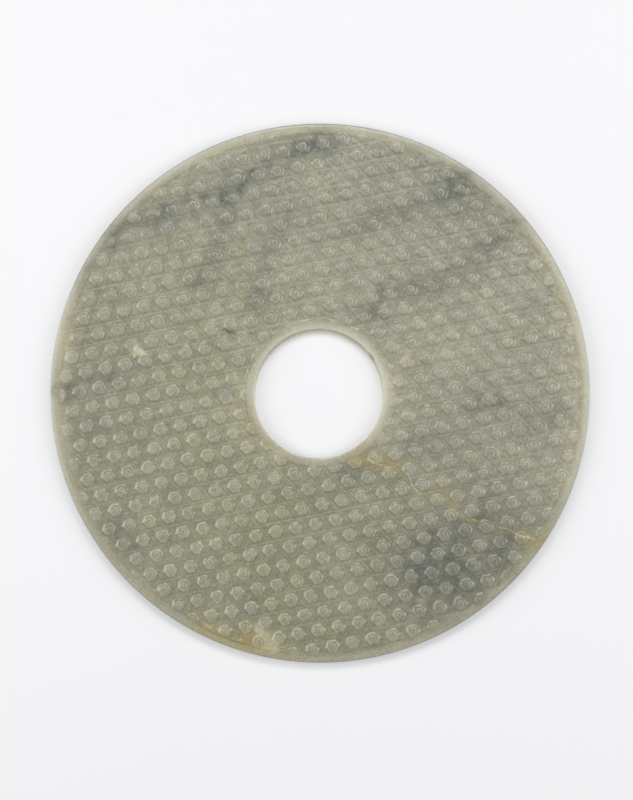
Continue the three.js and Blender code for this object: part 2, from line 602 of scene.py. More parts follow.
GREY_CLOUDS = (
    Cloud(((-10.0, 99.6), (2.0, 102.0)), 5.0, 1.25, haze=0.08),
    Cloud(
        ((-21.3, 92.6), (-27.8, 89.4), (-32.3, 83.3), (-37.2, 73.9), (-43.3, 56.3), (-49.0, 46.2)),
        2.8, 0.64,
    ),
    Cloud(((-84.0, 62.0), (-70.0, 72.0), (-52.0, 77.5), (-35.6, 81.5)), 4.6, 0.62),
    Cloud(((-13.5, 72.2), (-21.3, 55.1), (-26.2, 44.1), (-27.0, 37.6)), 2.8, 0.5),
    Cloud(((-26.2, 38.4), (-25.4, 36.8)), 2.6, 0.6),
    Cloud(((60.3, 85.3), (53.7, 82.9), (40.7, 76.7), (24.8, 71.8), (10.0, 64.0)), 3.6, 0.5),
    Cloud(((57.8, 83.7), (53.7, 81.6)), 4.0, 0.6),
    Cloud(
        ((81.5, 73.5), (70.5, 60.8), (59.4, 51.5), (46.8, 44.5), (28.1, 40.4), (17.0, 32.7), (25.6, 29.4)),
        3.9, 0.6,
    ),
    Cloud(((61.1, -7.7), (67.2, -4.0), (72.1, -2.0)), 4.5, 0.65),
    Cloud(((87.6, -13.0), (97.8, -8.9)), 4.5, 0.6),
    Cloud(((36.6, -21.1), (42.7, -19.1), (50.0, -22.0)), 4.0, 0.5),
    Cloud(((-105.3, 1.3), (-95.9, 2.1), (-86.5, 5.4)), 4.5, 0.8),
    Cloud(((-102.0, -15.0), (-73.5, -16.2)), 4.0, 0.4),
    Cloud(((42.7, -66.0), (48.8, -63.1), (55.0, -55.8), (63.1, -51.7), (75.3, -56.6)), 6.3, 0.62),
    Cloud(((56.0, -66.0), (60.0, -72.0)), 14.0, 0.14),
    Cloud(((44.0, -86.0), (60.0, -84.0)), 8.0, 0.16),
    Cloud(((-8.0, -62.0), (28.0, -72.0), (8.0, -98.0)), 22.0, 0.09),
    Cloud(((10.0, -32.5), (18.0, -31.5)), 4.5, 0.68, haze=0.1),
    Cloud(((-37.0, 13.6), (-31.0, 12.4)), 2.4, 0.5, haze=0.1),
    Cloud(((75.3, -61.9), (69.2, -72.1), (61.1, -72.9), (48.8, -70.0)), 5.3, 0.68),
    Cloud(((39.9, -80.2), (34.6, -88.4)), 5.0, 0.4),
    Cloud(((-82.4, -57.8), (-79.2, -61.9)), 3.4, 0.85),
    Cloud(((-36.2, 26.7), (-34.0, 26.2)), 1.3, 1.2, haze=0.0),
    Cloud(((-97.9, 50.2), (-93.9, 60.4), (-89.8, 66.5)), 3.0, 0.6),
    Cloud(((21.3, 14.7), (21.6, 14.3)), 0.7, 3.0, haze=0.0),
    Cloud(((62.0, 78.0), (44.0, 90.0)), 9.0, 0.3),
    Cloud(((-58.0, 74.0), (-38.0, 86.0)), 8.0, 0.18),
    Cloud(((42.0, -74.0), (48.0, -85.0), (58.0, -78.0)), 12.0, 0.25, haze=0.1),
    Cloud(((48.0, -28.0), (66.0, -40.0), (92.0, -50.0)), 10.0, 0.16),
)

OCHRE_STAINS = (
    Cloud(((-29.5, -8.0), (-26.0, -16.0), (-20.5, -22.0)), 1.6, 0.5, haze=0.1),
    Cloud(((14.0, -25.6), (20.0, -21.8)), 1.8, 0.4, haze=0.1),
    Cloud(((13.0, -25.0), (18.0, -26.9), (24.4, -28.5)), 2.3, 0.9),
    Cloud(((30.5, -28.6), (32.5, -29.0)), 1.6, 0.7),
    Cloud(((48.8, -38.2), (52.9, -40.0)), 2.2, 0.6),
    Cloud(((55.0, -48.4), (61.1, -50.1)), 2.2, 0.5),
    Cloud(((81.5, -58.6), (92.9, -61.9)), 2.6, 0.8),
    Cloud(((-50.0, -96.0), (-40.0, -99.0), (-30.7, -101.6)), 2.4, 1.1),
    Cloud(((-28.6, -104.5), (-20.5, -106.0), (-16.0, -106.6)), 3.0, 1.1),
)

CREAM_PATCHES = (
    Cloud(((-26.0, -96.5), (-21.5, -99.5), (-18.5, -105.5)), 3.4, 1.0, haze=0.1),
    Cloud(((-47.0, -94.0), (-36.0, -97.6)), 1.5, 0.6, haze=0.1),
    Cloud(((-28.5, -104.6), (-22.0, -106.2), (-16.5, -106.9)), 1.7, 1.2, haze=0.1),
    Cloud(((-73.9, 17.9), (-73.0, 16.6), (-71.4, 16.2)), 1.25, 1.7, haze=0.0),
    Cloud(((-73.2, 19.2), (-73.2, 14.2)), 0.7, 1.2, haze=0.0),
)

# Honey tints: partly the stone's warmer zones, partly painted glow through the thin stone at the hole and
# rim.
WARM_GLOWS = (
    Cloud(((26.0, -20.0), (31.0, -6.0), (31.5, 4.0), (30.0, 10.0)), 5.5, 0.95, haze=0.15),
    Cloud(((-31.0, 3.0), (-32.5, -4.0), (-28.0, -18.0), (-17.0, -29.0)), 5.0, 0.85, haze=0.15),
    Cloud(((-55.0, -2.0), (-46.0, -28.0)), 13.0, 0.3),
    Cloud(((-6.0, 35.0), (8.0, 35.0)), 5.0, 0.35, haze=0.1),
    Cloud(((35.0, 22.0), (68.0, 44.0)), 16.0, 0.6),
    Cloud(((103.0, -26.0), (106.6, 0.0), (102.0, 28.0)), 5.5, 1.15, haze=0.2),
    Cloud(((99.0, 38.0), (92.0, 53.0), (76.0, 74.0), (62.0, 86.5)), 4.5, 0.5, haze=0.1),
    Cloud(((-58.0, 89.0), (-76.0, 74.0), (-92.0, 53.0), (-101.0, 33.0)), 4.0, 0.5, haze=0.1),
    Cloud(((-105.0, 22.0), (-107.5, 0.0), (-105.5, -18.0)), 4.5, 1.05, haze=0.1),
)

GREEN_DEPTHS = (
    Cloud(((-45.0, 25.0), (-30.0, -35.0), (-5.0, -85.0)), 42.0, 0.9),
)

MARKINGS = {
    "grey_cloud": GREY_CLOUDS,
    "ochre_stain": OCHRE_STAINS,
    "cream_patch": CREAM_PATCHES,
    "warm_glow": WARM_GLOWS,
    "green_depth": GREEN_DEPTHS,
}


@dataclass(frozen=True)
class Wear:
    """The soft unevenness of the carving and of the stone's marks. Lengths are in millimetres."""

    front_hills: float = 0.025
    front_cell: float = 9.0
    back_hills: float = 0.02
    back_cell: float = 11.0
    dips: float = 0.015
    dip_cell: float = 6.0
    face_margin: float = 0.2
    drill_marks: float = 0.0012
    drill_turns: float = 7.0
    drill_sway: float = 0.6
    drill_lobes: float = 3.0
    mark_shift: float = 1.3
    mark_cell: float = 5.0
    patch_level: float = 0.8
    patch_spread: float = 0.25
    patch_cell: float = 3.5
    # far_middle, far_growth and far_across set far_side, the gradient of painted sheen and shade.
    far_middle: float = 0.5
    far_growth: float = 0.4
    far_across: float = 0.6
    # edge_fade sets how strong the painted highlight on the bosses' top edges is; it fades to the upper
    # right.
    edge_fade: float = 1.1


@dataclass(frozen=True)
class EdgeMark:
    """A mark along the bosses' sides, at a share of their height."""

    at: float
    width: float

    def along(self, flanks: np.ndarray) -> np.ndarray:
        """Returns 1 where the sides reach the mark's height and 0 away from it."""
        return np.exp(-(((flanks - self.at) / self.width) ** 2))


# A painted highlight along the bosses' top edges.
BOSS_EDGE_HIGHLIGHT = EdgeMark(at=0.98, width=0.16)
# Painted shade low on the bosses' sides, in the crease at their feet.
BOSS_FOOT_SHADE = EdgeMark(at=0.32, width=0.42)


class Disc:
    """The carved disc: a closed ring with its relief, and the marks that its stone reads."""

    SHARP_ANGLE = 30.0
    BACK_SCALE = 1.5

    def __init__(self, low: Vector, high: Vector, quality: Quality) -> None:
        """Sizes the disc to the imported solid's box.

        Args:
            low: The box's lowest corner, in metres.
            high: The box's highest corner, in metres.
            quality: How fine the mesh is.
        """
        size = high - low
        self.section = Section(radius=size.x / 2 / MM, thickness=size.z / MM)
        self.quality = quality
        lattice = Lattice(reach=self.section.field_outer)
        self.front = BossField(lattice, depth=self.section.field_depth, curl=Curl())
        back = Lattice(reach=self.section.field_outer, scale=self.BACK_SCALE)
        self.back = BossField(back, depth=self.section.field_depth, seed=29)
        self.crack = HealedCrack()
        self.wear = Wear()

    def wrapped_ring(self) -> bpy.types.Mesh:
        """Wraps a grid round the axis along the section, into a closed ring, in millimetres."""
        outline = np.array(self.section.outline(self.quality))
        around, steps = len(outline), self.quality.spin_steps
        shape = bmesh.new()
        bmesh.ops.create_grid(shape, x_segments=around, y_segments=steps, size=1.0)
        mesh = bpy.data.meshes.new(NODE)
        shape.to_mesh(mesh)
        points = np.empty(len(mesh.vertices) * 3)
        mesh.vertices.foreach_get("co", points)
        share = (points.reshape(-1, 3)[:, :2] + 1.0) / 2.0
        corner = np.round(share[:, 0] * around).astype(int) % around
        angle = math.tau * (np.round(share[:, 1] * steps) % steps) / steps
        radius, height = outline[corner].T
        ring = np.column_stack([radius * np.cos(angle), radius * np.sin(angle), height])
        mesh.vertices.foreach_set("co", ring.ravel())
        shape.clear()
        shape.from_mesh(mesh)
        bmesh.ops.remove_doubles(shape, verts=shape.verts, dist=1e-5)
        bmesh.ops.recalc_face_normals(shape, faces=shape.faces)
        shape.to_mesh(mesh)
        shape.free()
        return mesh

    def carved(self, points: np.ndarray) -> np.ndarray:
        """Moves the ring's points to the carved surface.

        Args:
            points: The plain ring's x, y, z rows, in millimetres.

        Returns:
            The carved x, y, z rows.
        """
        section, wear = self.section, self.wear
        radius = np.hypot(points[:, 0], points[:, 1])
        height = points[:, 2].copy()
        place = points[:, :2] + section.centres(radius, height)
        nudge = 1e-3
        top, ground = section.thickness, section.field_depth
        flat = section.radius - section.rim_bevel - nudge
        in_field = (radius > section.front_bore + 1.0) & (radius < flat)
        front = np.flatnonzero((np.abs(height - (top - ground)) < nudge) & in_field)
        back = np.flatnonzero((np.abs(height - ground) < nudge) & in_field)
        share = section.band_share(radius)
        hills = wear.front_hills * SmoothNoise(5, wear.front_cell).at(place[front])
        bosses = self.front.height(place[front]) + hills
        height[front] += bosses * (1.0 - share[front]) + section.band_height * share[front]
        hills = wear.back_hills * SmoothNoise(6, wear.back_cell).at(place[back])
        bosses = self.back.height(place[back]) + hills
        height[back] -= bosses * (1.0 - share[back]) + section.band_height * share[back]
        face = np.flatnonzero(height > top - ground - wear.face_margin)
        dips = wear.dips * np.abs(SmoothNoise(7, wear.dip_cell).at(place[face]))
        height[face] += self.crack.relief(place[face]) - dips
        bore = np.flatnonzero(radius < section.front_bore + nudge)
        place[bore] *= 1.0 + self.drill_marks(place[bore], height[bore])[:, None]
        return np.column_stack([place, np.clip(height, 0.0, top)])

    def drill_marks(self, place: np.ndarray, height: np.ndarray) -> np.ndarray:
        """Returns the fine rings that the drill left on the bore's wall, as shares of its radius."""
        around = np.arctan2(place[:, 1], place[:, 0])
        wear = self.wear
        turns = height * wear.drill_turns + wear.drill_sway * np.sin(wear.drill_lobes * around)
        return wear.drill_marks * np.sin(turns) - wear.drill_marks

    def marks(self, place: np.ndarray, height: np.ndarray) -> dict[str, np.ndarray]:
        """Works out the stone's marks and the masks of painted light and shade at each point.

        Args:
            place: The points' x, y rows, in millimetres.
            height: The points' heights, in millimetres.

        Returns:
            The strength of each mark from 0 to 1 by its name, and the distance from the crack. The
            mark far_side grows from the disc's lower left to its upper right.
        """
        wear = self.wear
        moved = place + wear.mark_shift * wavering(place, 41, wear.mark_cell)
        patchy = wear.patch_level + wear.patch_spread * SmoothNoise(43, wear.patch_cell).at(place)
        on_front = smooth_step(height, 0.5 * self.section.thickness, 0.8 * self.section.thickness)
        sums = {}
        for name, clouds in MARKINGS.items():
            sums[name] = sum(cloud.density(moved) for cloud in clouds) * patchy
        in_field = on_front * (1.0 - self.section.band_share(np.hypot(*place.T)))
        flanks = self.front.flanks(place) / self.section.field_depth
        towards = wear.far_across * place[:, 0] + place[:, 1]
        far_side = wear.far_middle + wear.far_growth * towards / self.section.radius
        # curl_crest also carries the curls' painted highlight, curl_cut the painted shade in their cuts.
        for name, values in self.front.curl_marks(place).items():
            sums[name] = values * in_field
        # far_side: the gradient read for painted sheen and shade, and for the cream patches' tint.
        sums["far_side"] = far_side
        # Painted highlight on the bosses' top edges, fading towards the upper right.
        sums["boss_edge_highlight"] = BOSS_EDGE_HIGHLIGHT.along(flanks) * in_field * (wear.edge_fade - far_side)
        # Painted shade at the bosses' feet, growing towards the upper right.
        sums["boss_foot_shade"] = BOSS_FOOT_SHADE.along(flanks) * in_field * far_side
        marks = {name: np.clip(values, 0.0, 1.0) for name, values in sums.items()}
        marks["crack_offset"] = np.clip(self.crack.offset(place), -3.0, 3.0)
        return marks

    def build(self) -> bpy.types.Object:
        """Builds the disc as one object in metres, thinned to its triangle budget."""
        mesh = self.wrapped_ring()
        points = np.empty(len(mesh.vertices) * 3)
        mesh.vertices.foreach_get("co", points)
        log.info("plain ring: %d points", len(mesh.vertices))
        carved = self.carved(points.reshape(-1, 3)) * MM
        mesh.vertices.foreach_set("co", carved.ravel())
        mesh.update()
        disc = bpy.data.objects.new("carved_disc", mesh)
        bpy.context.scene.collection.objects.link(disc)
        thin = disc.modifiers.new("thin", "DECIMATE")
        thin.ratio = self.quality.triangles / (2 * len(mesh.polygons))
        thin.use_collapse_triangulate = True
        finished = bpy.data.meshes.new_from_object(
            disc.evaluated_get(bpy.context.evaluated_depsgraph_get())
        )
        disc.modifiers.clear()
        disc.data = finished
        bpy.data.meshes.remove(mesh)
        self.keep_inside(finished)
        finished.shade_smooth()
        finished.set_sharp_from_angle(angle=math.radians(self.SHARP_ANGLE))
        self.write_marks(finished)
        log.info("carved disc: %d triangles", len(finished.polygons))
        return disc

    def keep_inside(self, mesh: bpy.types.Mesh) -> None:
        """Moves the points that the thinning pushed past the disc's outer surfaces back onto them."""
        points = np.empty(len(mesh.vertices) * 3)
        mesh.vertices.foreach_get("co", points)
        points = points.reshape(-1, 3)
        reach = np.hypot(points[:, 0], points[:, 1])
        points[:, :2] *= np.minimum(1.0, self.section.radius * MM / reach)[:, None]
        points[:, 2] = np.clip(points[:, 2], 0.0, self.section.thickness * MM)
        mesh.vertices.foreach_set("co", points.ravel())
        mesh.update()

    def write_marks(self, mesh: bpy.types.Mesh) -> None:
        """Stores the marks on the finished mesh's points, for the stone to read."""
        points = np.empty(len(mesh.vertices) * 3)
        mesh.vertices.foreach_get("co", points)
        points = points.reshape(-1, 3) / MM
        for name, values in self.marks(points[:, :2], points[:, 2]).items():
            layer = mesh.attributes.new(name, "FLOAT", "POINT")
            layer.data.foreach_set("value", values.astype(np.float32))


@dataclass(frozen=True)
class Ramp:
    """An eased ramp from one value to another, between two limits of what it reads."""

    low: float
    high: float
    to_low: float = 0.0
    to_high: float = 1.0


@dataclass(frozen=True)
class Grain:
    """A noise pattern: its scale per metre, and the ramp that its values go through."""

    scale: float
    ramp: Ramp
    detail: float = 2.0
    roughness: float = 0.5
    shift: float = 0.0


class NodeGraph:
    """A short way to add and join shader nodes."""

    def __init__(self, tree: bpy.types.NodeTree) -> None:
        """Keeps the tree that the nodes go into."""
        self.tree = tree

    def add(self, kind: str, **settings: object) -> bpy.types.Node:
        """Adds a node of a kind and sets its properties."""
        node = self.tree.nodes.new(kind)
        for name, value in settings.items():
            setattr(node, name, value)
        return node

    def feed(self, socket: bpy.types.NodeSocket, source: object) -> None:
        """Joins a socket to another socket, or sets it to a plain value."""
        if isinstance(source, bpy.types.NodeSocket):
            self.tree.links.new(source, socket)
        else:
            socket.default_value = source

    def math(self, operation: str, *inputs: object, clamp: bool = False) -> bpy.types.NodeSocket:
        """Adds a Math node and returns its value."""
        node = self.add("ShaderNodeMath", operation=operation, use_clamp=clamp)
        for socket, source in zip(node.inputs, inputs):
            self.feed(socket, source)
        return node.outputs[0]

    def times(self, first: object, *others: object) -> bpy.types.NodeSocket:
        """Adds Math nodes that multiply two or more values."""
        for other in others:
            first = self.math("MULTIPLY", first, other)
        return first

    def apart(self, value: object, mark: object) -> bpy.types.NodeSocket:
        """Adds Math nodes for the distance between two values."""
        return self.math("ABSOLUTE", self.math("SUBTRACT", value, mark))

    def ramp(
        self, value: object, low: object, high: object, to_low: object = 0.0, to_high: object = 1.0
    ) -> bpy.types.NodeSocket:
        """Adds an eased Map Range node and returns its result."""
        node = self.add("ShaderNodeMapRange", interpolation_type="SMOOTHSTEP", clamp=True)
        names = ("Value", "From Min", "From Max", "To Min", "To Max")
        for name, source in zip(names, (value, low, high, to_low, to_high)):
            self.feed(node.inputs[name], source)
        return node.outputs["Result"]

    def eased(self, value: object, ramp: Ramp) -> bpy.types.NodeSocket:
        """Adds a named ramp of a value."""
        return self.ramp(value, ramp.low, ramp.high, ramp.to_low, ramp.to_high)

    def mix(self, share: object, first: object, second: object, blend: str = "MIX") -> bpy.types.NodeSocket:
        """Adds a colour Mix node and returns its colour."""
        node = self.add("ShaderNodeMix", data_type="RGBA", blend_type=blend, clamp_factor=True)
        self.feed(node.inputs[0], share)
        self.feed(node.inputs[6], first)
        self.feed(node.inputs[7], second)
        return node.outputs[2]

    def noise(
        self, place: object, scale: float, detail: float = 3.0, roughness: float = 0.5
    ) -> bpy.types.NodeSocket:
        """Adds a Noise Texture and returns its factor."""
        node = self.add("ShaderNodeTexNoise")
        self.feed(node.inputs["Vector"], place)
        self.feed(node.inputs["Scale"], scale)
        self.feed(node.inputs["Detail"], detail)
        self.feed(node.inputs["Roughness"], roughness)
        return node.outputs["Fac"]

    def grain(self, place: object, grain: Grain) -> bpy.types.NodeSocket:
        """Adds a named noise pattern, sent through its ramp."""
        moved = self.shifted(place, grain.shift) if grain.shift else place
        return self.eased(self.noise(moved, grain.scale, grain.detail, grain.roughness), grain.ramp)

    def vector(self, operation: str, *inputs: object) -> bpy.types.Node:
        """Adds a Vector Math node and feeds its inputs."""
        node = self.add("ShaderNodeVectorMath", operation=operation)
        for socket, source in zip(node.inputs, inputs):
            self.feed(socket, source)
        return node

    def split(self, vector: object) -> tuple:
        """Adds a Separate XYZ node and returns its three values."""
        node = self.add("ShaderNodeSeparateXYZ")
        self.feed(node.inputs[0], vector)
        return tuple(node.outputs)

    def shifted(self, place: object, across: float, up: float = 0.0) -> bpy.types.NodeSocket:
        """Adds a Vector Math node that moves a place, in the place's own unit."""
        return self.vector("ADD", place, (across, up, 0.0)).outputs["Vector"]

    def scaled(self, vector: object, factor: object) -> bpy.types.NodeSocket:
        """Adds a Vector Math node that multiplies a vector or a colour by a number."""
        node = self.vector("SCALE", vector)
        self.feed(node.inputs["Scale"], factor)
        return node.outputs["Vector"]

    def length(self, place: object) -> bpy.types.NodeSocket:
        """Adds the distance of a place from the z axis."""
        flat = self.vector("MULTIPLY", place, (1.0, 1.0, 0.0)).outputs["Vector"]
        return self.vector("LENGTH", flat).outputs["Value"]

    def mark(self, name: str) -> bpy.types.NodeSocket:
        """Adds an Attribute node and returns the named mark."""
        node = self.add("ShaderNodeAttribute", attribute_type="GEOMETRY", attribute_name=name)
        return node.outputs["Fac"]


class Spot:
    """The values that say where on the disc a point of its stone is.

    Distances are in millimetres, and across and up are shares of the disc's radius.
    """

    def __init__(self, graph: NodeGraph, section: Section, far: Ramp, raised: Ramp) -> None:
        """Adds the nodes.

        Args:
            graph: The material's graph.
            section: The ring's section.
            far: The ramp of the far_side mark, from the near left to the far right.
            raised: The ramp of the height under the carving's highest points.
        """
        self.place = graph.add("ShaderNodeTexCoord").outputs["Object"]
        local = graph.scaled(self.place, 1.0 / MM)
        self.x, self.y, self.z = graph.split(local)
        self.across = graph.math("DIVIDE", self.x, section.radius)
        self.up = graph.math("DIVIDE", self.y, section.radius)
        self.radius = graph.length(local)
        self.inset = graph.math("SUBTRACT", section.radius, self.radius)
        centre_x, centre_y = section.front_bore_centre
        from_bore = graph.length(graph.shifted(local, -centre_x, -centre_y))
        self.off_bore = graph.math("SUBTRACT", from_bore, section.front_bore)
        self.far = graph.eased(graph.mark("far_side"), far)
        middle = 0.5 * section.thickness
        self.raised = graph.eased(graph.math("SUBTRACT", middle, graph.apart(self.z, middle)), raised)
        self.front = graph.math("GREATER_THAN", self.z, middle)


@dataclass(frozen=True)
class RowLines:
    """The pale guide lines scribed along the middle of the cuts, as a shader node group."""

    lattice: Lattice
    width: float = 0.42
    patch: float = 16.0
    patch_step: float = 0.3
    patch_ramp: Ramp = Ramp(0.32, 0.52)
    strengths: tuple = (1.0, 0.75, 0.6)

    def group(self) -> bpy.types.NodeTree:
        """Builds the group, which takes a place in metres and returns the lines' strength."""
        tree = bpy.data.node_groups.new("row_lines", "ShaderNodeTree")
        tree.interface.new_socket("Place", in_out="INPUT", socket_type="NodeSocketVector")
        tree.interface.new_socket("Line", in_out="OUTPUT", socket_type="NodeSocketFloat")
        graph = NodeGraph(tree)
        place = graph.add("NodeGroupInput").outputs["Place"]
        x, y, _ = graph.split(graph.scaled(place, 1.0 / MM))
        near_x, near_y = self.unstray(graph, x, y, x, y)
        near_x, near_y = self.unstray(graph, x, y, near_x, near_y)
        first, second = self.rows(graph, near_x, near_y)
        third = graph.math("ADD", first, second)
        lines = 0.0
        families = zip((second, first, third), self.lattice.row_gaps(), self.strengths)
        for turn, (row, gap, strength) in enumerate(families, start=1):
            away = graph.times(graph.apart(graph.math("FRACT", row), 0.5), gap)
            line = graph.ramp(away, 0.0, self.width, strength, 0.0)
            patches = Grain(1.0 / (self.patch * MM), self.patch_ramp, shift=self.patch_step * turn)
            lines = graph.math("ADD", lines, graph.times(line, graph.grain(place, patches)))
        graph.feed(graph.add("NodeGroupOutput").inputs["Line"], lines)
        return tree

    def unstray(self, graph: NodeGraph, x: object, y: object, near_x: object, near_y: object) -> tuple:
        """Adds the nodes that take the rows' stray off a place.

        Args:
            graph: The graph to add to.
            x: The place's x in millimetres.
            y: The place's y in millimetres.
            near_x: The x where the stray is read.
            near_y: The y where the stray is read.

        Returns:
            The straightened x and y.
        """
        a, b, c, d = self.lattice.stray_across
        e, f = self.lattice.stray_up
        u = graph.math("DIVIDE", near_x, self.lattice.reach)
        v = graph.math("DIVIDE", near_y, self.lattice.reach)
        u_squared, v_squared = graph.times(u, u), graph.times(v, v)
        by_x = graph.times(graph.math("MULTIPLY_ADD", u, c, a), u_squared)
        across = graph.math("MULTIPLY_ADD", graph.math("MULTIPLY_ADD", v, d, b), v_squared, by_x)
        up = graph.times(graph.math("MULTIPLY_ADD", u, f, e), v_squared)
        return graph.math("SUBTRACT", x, across), graph.math("SUBTRACT", y, up)

    def rows(self, graph: NodeGraph, x: object, y: object) -> tuple:
        """Adds the nodes that turn a straightened place into the two lattice indices."""
        inverse = np.linalg.inv(self.lattice.steps())
        start_x, start_y = self.lattice.first_boss
        from_x, from_y = graph.math("SUBTRACT", x, start_x), graph.math("SUBTRACT", y, start_y)
        indices = []
        for across, up in inverse.T:
            part = graph.times(from_y, float(up))
            indices.append(graph.math("MULTIPLY_ADD", from_x, float(across), part))
        return tuple(indices)


@dataclass(frozen=True)
class ScribedRing:
    """A fine ring along a band, in millimetres from the band's free edge."""

    at: float
    width: float
    share: float
    pale: bool = False


@dataclass(frozen=True)
class BandLight:
    """The bands' tints: painted glow through the thin edges, the rim's painted shade, real streaks and
    rings.

    A ramp reads millimetres from the rim, from the hole's edge or from the middle, or, where its
    name ends in share, a place as a share of the disc's radius, and streaks reads a noise pattern.
    What it gives is a share of the tint, or a change of brightness for streaks.
    """

    rim_honey: Ramp = Ramp(4.1, 3.0, 0.0, 0.30)
    hole_honey: Ramp = Ramp(3.9, 2.7, 0.0, 0.20)
    side_honey_from: float = 0.80
    side_honey_share: Ramp = Ramp(-0.8, 0.0, 0.50, 0.34)
    upper_honey_share: Ramp = Ramp(-1.0, -0.6, 0.0, 0.18)
    slope: Ramp = Ramp(7.0, 5.0)
    rim_pale: Ramp = Ramp(4.0, -0.6)
    towards_top_share: Ramp = Ramp(-0.75, 0.0, 0.33, 0.92)
    top_edge_share: Ramp = Ramp(0.82, 1.0, 1.0, 0.66)
    hole_pale: Ramp = Ramp(4.0, 0.3)
    hole_right: Ramp = Ramp(0.0, 24.0, 0.72, 1.0)
    hole_upper: Ramp = Ramp(-26.0, -4.0, 0.62, 1.0)
    wall: Ramp = Ramp(0.15, -0.1)
    # Painted shade on the rim's rounded edge.
    rim_edge_shade: Ramp = Ramp(0.9, 0.4, 0.0, 0.5)
    streaked_rim: Ramp = Ramp(5.2, 4.4)
    streaked_hole: Ramp = Ramp(4.5, 3.9)
    streaks_per_millimetre: float = 1.4
    streaks_round: float = 2.5
    streaks: Ramp = Ramp(0.32, 0.68, -0.10, 0.09)
    rim_rings: tuple = (
        ScribedRing(3.95, 0.24, 0.34), ScribedRing(4.65, 0.20, 0.18), ScribedRing(3.50, 0.22, 0.26, True),
    )
    hole_rings: tuple = (ScribedRing(3.70, 0.24, 0.30), ScribedRing(4.15, 0.22, 0.30, True))
    hole_groove: ScribedRing = ScribedRing(4.70, 0.75, 0.4)
    above_hole: Ramp = Ramp(2.0, 18.0)


